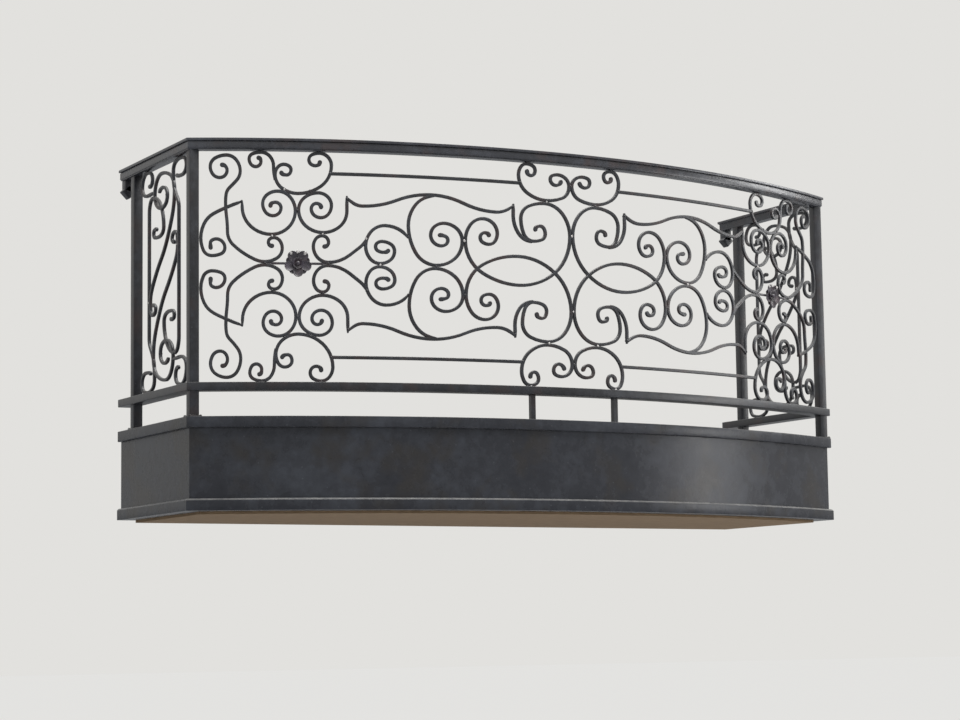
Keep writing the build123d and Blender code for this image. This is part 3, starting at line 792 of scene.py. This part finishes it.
def posts():
    """Square tube posts with rounded corners, welded and screwed down on their foot plates."""
    dice = random.Random(9)
    foot_top = DECK_TOP + POST_FOOT_THICK
    tube = RAIL_UNDER - foot_top
    head_height = FOOT_SCREW[-1] * MM
    for name, box in (("corner_post", CORNER_POST), ("wall_post", WALL_POST)):
        for side, sign in (("right", 1), ("left", -1)):
            group, welds = bmesh.new(), bmesh.new()
            middle = Vector((sign * (box[0].x + box[1].x) / 2, (box[0].y + box[1].y) / 2, foot_top))
            block(group, (POST, POST, tube), middle + Vector((0, 0, tube / 2)), POST_ROUNDING)
            block(group, (POST_FOOT, POST_FOOT, POST_FOOT_THICK),
                  middle - Vector((0, 0, POST_FOOT_THICK / 2)), FOOT_ROUNDING * MM)
            for dx, dy in ((1, 1), (1, -1), (-1, 1), (-1, -1)):
                spot = Vector((dx, dy, 0)) * (POST_FOOT / 2 - FOOT_SCREW_INSET * MM)
                spot.z = head_height / 2
                cone(group, *FOOT_SCREW, Matrix.Translation(middle + spot))
            finish_piece(f"{side}_{name}_tube", group, RAILS, [f"{side}_{name}"])
            foot_weld(welds, middle, dice)
            finish_piece(f"{side}_{name}_foot_weld", welds, RAILS, crease=BEAD_CREASE)


# The mouldings: steps round the bow, how far a run passes a corner before its mitre is cut, and how near to
# the cut a corner snaps to it
BOW_STEPS = 61
MITRE_SPARE = math.radians(4)
MITRE_SNAP = 1e-6


def softened(outline, rounding):
    """The outline of a section, as (reach, height) corners, with every corner rounded."""
    bm = bmesh.new()
    bm.faces.new([bm.verts.new((reach, 0, height)) for reach, height in outline])
    bmesh.ops.bevel(bm, geom=bm.verts[:], offset=rounding, offset_type="OFFSET", affect="VERTICES",
                    segments=ROUND_STEPS, profile=0.5, material=-1, clamp_overlap=True)
    corners = [(vert.co.x, vert.co.z) for vert in bm.faces[:][0].verts]
    bm.free()
    return corners


def cut(bm, sign, keep_side):
    """Cut a moulding on the mitre of one corner, and close the cut."""
    x = HALF - POST / 2
    lean = math.asin(x / PANEL_RADIUS)
    turn = (math.pi / 2 - lean) / 2
    corner = (sign * x, CENTRE_Y - PANEL_RADIUS * math.cos(lean), 0)
    made = bmesh.ops.bisect_plane(bm, geom=bm.verts[:] + bm.edges[:] + bm.faces[:], dist=MITRE_SNAP,
                                  plane_co=corner, plane_no=(sign * math.sin(turn), math.cos(turn), 0),
                                  clear_outer=not keep_side, clear_inner=keep_side)
    rim = [e for e in made["geom_cut"] if isinstance(e, bmesh.types.BMEdge)]
    bmesh.ops.contextual_create(bm, geom=rim)


def moulding(name, outline, material, rounding):
    """A section of (reach, height) corners, from the fascia outwards, round the bow and along the sides."""
    corners = softened(outline, rounding)
    rim = math.asin(HALF / RADIUS) + MITRE_SPARE
    outlines = []
    for i in range(BOW_STEPS + 1):
        lean = rim * (2 * i / BOW_STEPS - 1)
        outlines.append([Vector(((RADIUS + reach) * math.sin(lean),
                                 CENTRE_Y - (RADIUS + reach) * math.cos(lean), height))
                         for reach, height in corners])
    front = sweep(outlines)
    cut(front, 1, False)
    cut(front, -1, False)
    bmesh.ops.recalc_face_normals(front, faces=front.faces)
    finish_piece(f"front_{name}_section", front, material, [f"front_{name}"])
    for side, sign in (("right", 1), ("left", -1)):
        straight = sweep([[Vector((sign * (HALF + reach), y, height)) for reach, height in corners]
                          for y in (0, -SIDE_DEPTH - BOW)])
        cut(straight, sign, True)
        bmesh.ops.recalc_face_normals(straight, faces=straight.faces)
        finish_piece(f"{side}_{name}_section", straight, material, [f"{side}_{name}"])


# Sections in millimetres, as (reach, height) corners: reach outwards from the fascia, height from the rail's
# top or the band's underside. Then how far the top band reaches out and in, and how round the corners are.
HANDRAIL_SECTION = [
    (4, -43), (4, -39), (8, -39), (8, -13), (4, -13), (4, -10.5), (14, -10.5), (14, 0),
    (-50, 0), (-50, -10.5), (-42, -10.5), (-42, -13), (-39, -13), (-39, -43),
]
FOOT_SECTION = [(17, 0), (17, 39), (10, 46), (-1, 46), (-1, 6), (-58, 6), (-58, 0)]
TOP_BAND_OUT, TOP_BAND_IN = 15 * MM, 1 * MM
HANDRAIL_ROUNDING = 1.5 * MM
FOOT_BAND_ROUNDING = 1 * MM
PLAIN_ROUNDING = 2.5 * MM


def plain(outer, inner, low, high):
    """The corners of a plain rectangular section."""
    return [(outer, low), (outer, high), (inner, high), (inner, low)]


def mouldings():
    """The handrail with its drip lip, the bottom rail, and the base's two bands."""
    moulding("top_rail", [(reach * MM, RAIL_TOP + height * MM) for reach, height in HANDRAIL_SECTION],
             HANDRAIL, HANDRAIL_ROUNDING)
    low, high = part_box("front_bottom_rail")
    moulding("bottom_rail", plain(LOW_RAIL_REACH, -POST - LOW_RAIL_REACH, low.z, high.z),
             RAILS, PLAIN_ROUNDING)
    low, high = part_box("front_top_band")
    moulding("top_band", plain(TOP_BAND_OUT, -TOP_BAND_IN, low.z, high.z), PLATES, PLAIN_ROUNDING)
    low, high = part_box("front_foot_band")
    moulding("foot_band", [(reach * MM, low.z + height * MM) for reach, height in FOOT_SECTION],
             PLATES, FOOT_BAND_ROUNDING)


# The wall brackets, in millimetres
DIAMOND = 60
DIAMOND_ROUNDING = 4
NECK_ROUNDING = 3
WALL_SCREW = (6, 5.5, 5.5, 8)
WALL_SCREW_SHIFT = 11
WALL_SCREW_SINK = 2


def wall_brackets():
    """The forged brackets on the wall: a neck, a diamond and the heads of two wall screws."""
    low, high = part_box("right_wall_bracket")
    deep = high.y - low.y
    point = DIAMOND / math.sqrt(2) * MM
    for side, sign in (("right", 1), ("left", -1)):
        x = sign * (low.x + high.x) / 2
        drop = Vector((x, (low.y + high.y) / 2, low.z + DIAMOND / 2 * MM))
        neck = RAIL_UNDER - drop.z
        group = bmesh.new()
        block(group, (point, deep, point), drop, DIAMOND_ROUNDING * MM, 45)
        block(group, (deep, deep, neck), drop + Vector((0, 0, neck / 2)), NECK_ROUNDING * MM)
        for shift in (-WALL_SCREW_SHIFT * MM, WALL_SCREW_SHIFT * MM):
            spot = Matrix.Translation((x + shift, low.y + WALL_SCREW_SINK * MM, drop.z))
            cone(group, *WALL_SCREW, spot @ Matrix.Rotation(math.radians(90), 4, "X"))
        finish_piece(f"{side}_bracket_forging", group, RAILS, [f"{side}_wall_bracket"])


front_scrolls()
side_scrolls()
weld_beads()
rosette("right", 1)
rosette("left", -1)
posts()
mouldings()
wall_brackets()

# Every CAD node gets the finish of its slot
FINISHES = {"railing": RAILS, "base": PLATES, "plaster": STUCCO}
for part in frame["record"]["subparts"]:
    node = frame["nodes"][part["node"]]
    node.data.materials.clear()
    node.data.materials.append(FINISHES[part["material_slot"]])


# Camera: where the photograph was taken from, with its angles in radians
CAMERA_PLACE = (-4.958, -9.156, -0.665)
CAMERA_YAW = 0.5101
CAMERA_PITCH = 0.1145
CAMERA_ROLL = -0.0142
CAMERA_LENS = 90.48
CAMERA_SENSOR = 36


def set_camera():
    """A camera that looks along its yaw and pitch, turned about that line by its roll."""
    camera = new_object("camera", bpy.data.cameras.new("camera"))
    flat = math.cos(CAMERA_PITCH)
    ahead = Vector((math.sin(CAMERA_YAW) * flat, math.cos(CAMERA_YAW) * flat, math.sin(CAMERA_PITCH)))
    flat_right = Vector((math.cos(CAMERA_YAW), -math.sin(CAMERA_YAW), 0))
    flat_up = flat_right.cross(ahead)
    right = math.cos(CAMERA_ROLL) * flat_right + math.sin(CAMERA_ROLL) * flat_up
    upright = -math.sin(CAMERA_ROLL) * flat_right + math.cos(CAMERA_ROLL) * flat_up
    facing = Matrix((right, upright, -ahead)).transposed().to_4x4()
    camera.matrix_world = Matrix.Translation(CAMERA_PLACE) @ facing
    camera.data.lens = CAMERA_LENS
    camera.data.sensor_width = CAMERA_SENSOR
    bpy.context.scene.camera = camera


# Stage: a pale floor well under the balcony. To the camera it is mostly a flat wash, a little stronger than
# the sky's, so that the two meet without an edge.
FLOOR_DROP = 1.6
FLOOR_REACH = 60
FLOOR_WASH = 0.75
FLOOR_GLOW = 1.2
SKY_FILL = 0.5
PALE = "#e2e1de"


def set_floor():
    """The floor, clear from below so that the underside of the balcony can be seen."""
    sheet = bmesh.new()
    bmesh.ops.create_grid(sheet, x_segments=1, y_segments=1, size=FLOOR_REACH)
    bmesh.ops.translate(sheet, verts=sheet.verts, vec=(0, 0, -FLOOR_DROP))
    mesh = bpy.data.meshes.new("floor")
    sheet.to_mesh(mesh)
    sheet.free()
    floor = new_object("floor", mesh)
    paper = new_material("pale_matt_floor")
    lit = add(paper, "ShaderNodeBsdfPrincipled", {"Base Color": linear("#dedcd8"), "Roughness": 0.95})
    wash = add(paper, "ShaderNodeEmission", {"Color": linear(PALE), "Strength": FLOOR_GLOW})
    share = add(paper, "ShaderNodeMath", {
        0: add(paper, "ShaderNodeLightPath").outputs["Is Camera Ray"], 1: FLOOR_WASH}, operation="MULTIPLY")
    washed = add(paper, "ShaderNodeMixShader", {0: share.outputs[0], 1: lit.outputs[0], 2: wash.outputs[0]})
    clear = add(paper, "ShaderNodeBsdfTransparent")
    under = add(paper, "ShaderNodeNewGeometry").outputs["Backfacing"]
    sided = add(paper, "ShaderNodeMixShader", {0: under, 1: washed.outputs[0], 2: clear.outputs[0]})
    add(paper, "ShaderNodeOutputMaterial", {"Surface": sided.outputs[0]})
    mesh.materials.append(paper)


def set_sky():
    """A pale sky where the camera or a glossy face sees it, and a dim cool one as fill light."""
    world = bpy.data.worlds.new("studio")
    bpy.context.scene.world = world
    world.use_nodes = True
    world.node_tree.nodes.clear()
    rays = add(world, "ShaderNodeLightPath")
    direct = add(world, "ShaderNodeMath", {0: rays.outputs["Is Camera Ray"],
                                           1: rays.outputs["Is Transmission Ray"]}, operation="MAXIMUM")
    seen = add(world, "ShaderNodeMath", {0: direct.outputs[0], 1: rays.outputs["Is Glossy Ray"]},
               operation="MAXIMUM")
    fill = add(world, "ShaderNodeBackground", {"Color": linear("#e6edf8"), "Strength": SKY_FILL})
    backdrop = add(world, "ShaderNodeBackground", {"Color": linear(PALE), "Strength": 1.0})
    sky = add(world, "ShaderNodeMixShader", {0: seen.outputs[0], 1: fill.outputs[0], 2: backdrop.outputs[0]})
    add(world, "ShaderNodeOutputWorld", {"Surface": sky.outputs[0]})


def softbox(name, place, aim, size, power):
    """A square area lamp that faces a point: its size in metres and its power in watts."""
    lamp = bpy.data.lights.new(name, "AREA")
    lamp.shape = "SQUARE"
    lamp.size = size
    lamp.energy = power
    holder = new_object(name, lamp)
    holder.location = place
    holder.rotation_euler = (Vector(aim) - Vector(place)).to_track_quat("-Z", "Y").to_euler()


set_camera()
set_floor()
set_sky()
softbox("overhead", place=(0.3, -2.8, 5.6), aim=(0, -0.6, 0.4), size=3.5, power=300)
softbox("front_right", place=(7.0, -5.0, 0.7), aim=(0.3, -0.8, 0.3), size=1.8, power=105)
softbox("right", place=(8.4, -2.9, 3.1), aim=(1.2, -0.8, 1.0), size=1.8, power=130)
softbox("front_left", place=(-6.0, -7.0, 3.5), aim=(0, -0.7, 0.4), size=4.0, power=25)

bpy.context.scene.view_settings.view_transform = "Standard"
